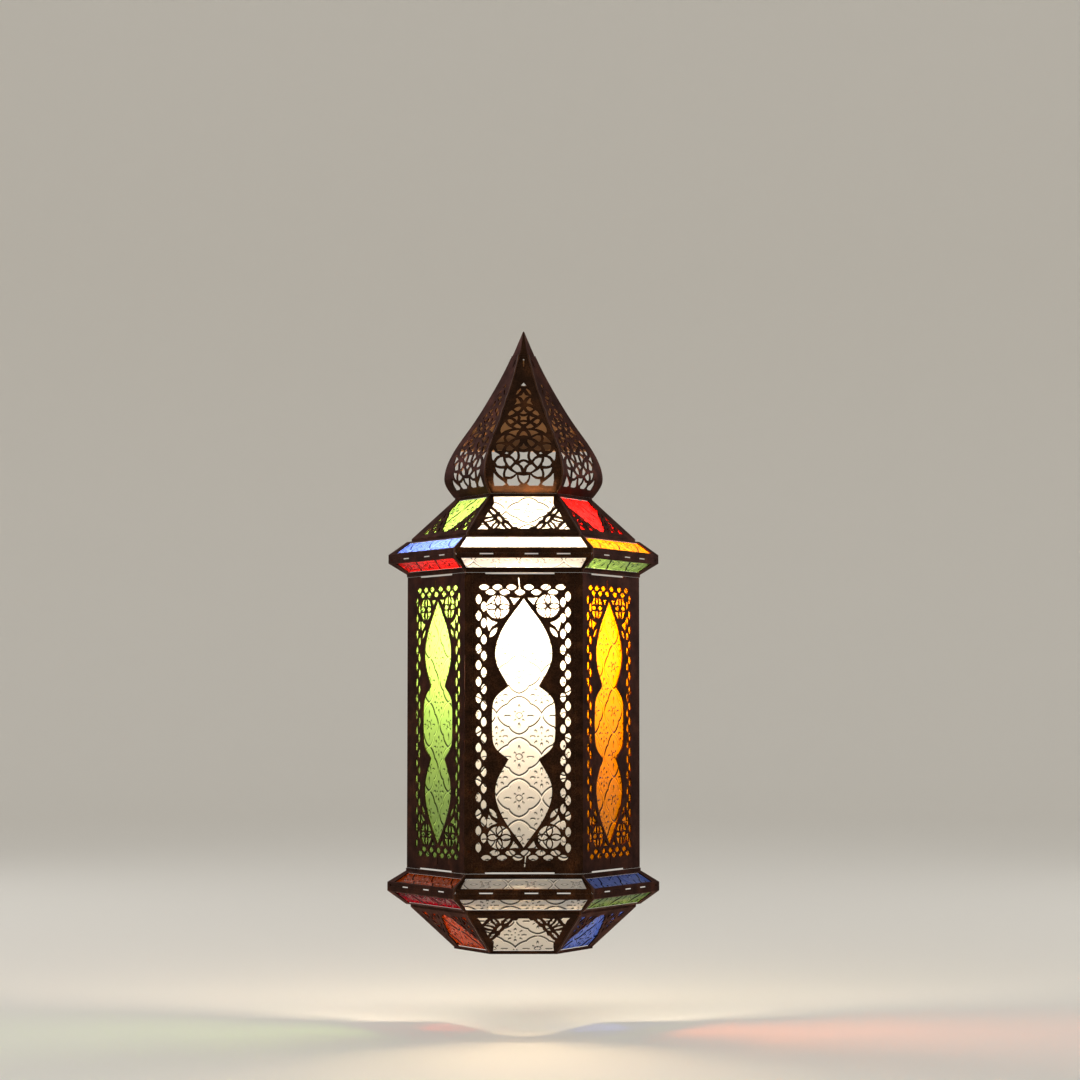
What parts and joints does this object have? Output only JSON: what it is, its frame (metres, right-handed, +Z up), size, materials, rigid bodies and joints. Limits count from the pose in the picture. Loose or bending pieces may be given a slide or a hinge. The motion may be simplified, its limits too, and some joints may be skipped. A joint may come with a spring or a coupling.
{
  "type": "moroccan metal lantern",
  "caption": "Half-hexagonal wall lantern of pierced dark sheet metal with a pointed dome, sloping tiers, coloured pressed glass panes and an upright bulb inside.",
  "frame": {"origin": "centre of the hanging hole in the plate behind the dome, on the wall plane", "axes": "+Z up, +Y into the wall that the lantern hangs on, +X to the right as seen from the front"},
  "size_m": [0.2196, 0.0976, 0.5],
  "materials": {
    "iron": "satin dark bronze",
    "steel": "plain zinc",
    "holder": "moulded, glossy",
    "terminal": "moulded, matte",
    "bulb_cap": "rolled thread",
    "bulb_glass": "opal blown",
    "filament": "glowing wire",
    "glass_clear": "pressed pattern",
    "glass_green": "pressed pattern",
    "glass_amber": "pressed pattern",
    "glass_red": "pressed pattern",
    "glass_crimson": "pressed pattern",
    "glass_blue": "pressed pattern",
    "glass_orange": "pressed pattern"
  },
  "bodies": {
    "lantern": {"back_stiles": "iron", "back_straps": "iron", "body_front_glass": "glass_clear", "body_front_panel": "iron", "body_left_glass": "glass_green", "body_left_panel": "iron", "body_right_glass": "glass_amber", "body_right_panel": "iron", "corner_strips": "iron", "dome_back_plate": "iron", "dome_cap": "iron", "dome_front_panel": "iron", "dome_left_panel": "iron", "dome_right_panel": "iron", "lamp_bracket": "iron", "lampholder": "holder", "lampholder_nut": "steel", "lampholder_ring": "holder", "pane_tabs": "steel", "screws": "steel", "terminal_block": "terminal", "tier_1_front_frame": "iron", "tier_1_front_glass": "glass_clear", "tier_1_left_frame": "iron", "tier_1_left_glass": "glass_green", "tier_1_right_frame": "iron", "tier_1_right_glass": "glass_red", "tier_2_front_frame": "iron", "tier_2_front_glass": "glass_clear", "tier_2_left_frame": "iron", "tier_2_left_glass": "glass_blue", "tier_2_right_frame": "iron", "tier_2_right_glass": "glass_amber", "tier_3_front_frame": "iron", "tier_3_front_glass": "glass_clear", "tier_3_left_frame": "iron", "tier_3_left_glass": "glass_red", "tier_3_right_frame": "iron", "tier_3_right_glass": "glass_green", "tier_4_front_frame": "iron", "tier_4_front_glass": "glass_clear", "tier_4_left_frame": "iron", "tier_4_left_glass": "glass_orange", "tier_4_right_frame": "iron", "tier_4_right_glass": "glass_blue", "tier_5_front_frame": "iron", "tier_5_front_glass": "glass_clear", "tier_5_left_frame": "iron", "tier_5_left_glass": "glass_crimson", "tier_5_right_frame": "iron", "tier_5_right_glass": "glass_green", "tier_6_front_frame": "iron", "tier_6_front_glass": "glass_clear", "tier_6_left_frame": "iron", "tier_6_left_glass": "glass_orange", "tier_6_right_frame": "iron", "tier_6_right_glass": "glass_blue"},
    "bulb": {"bulb_cap": "bulb_cap", "bulb_glass": "bulb_glass", "bulb_filament": "filament"}
  },
  "joints": [
    {"name": "bulb_withdraw", "type": "slide", "parent": "lantern", "child": "bulb", "axis": [0, 0, 1], "range_m": [0, 0.028]}
  ]
}
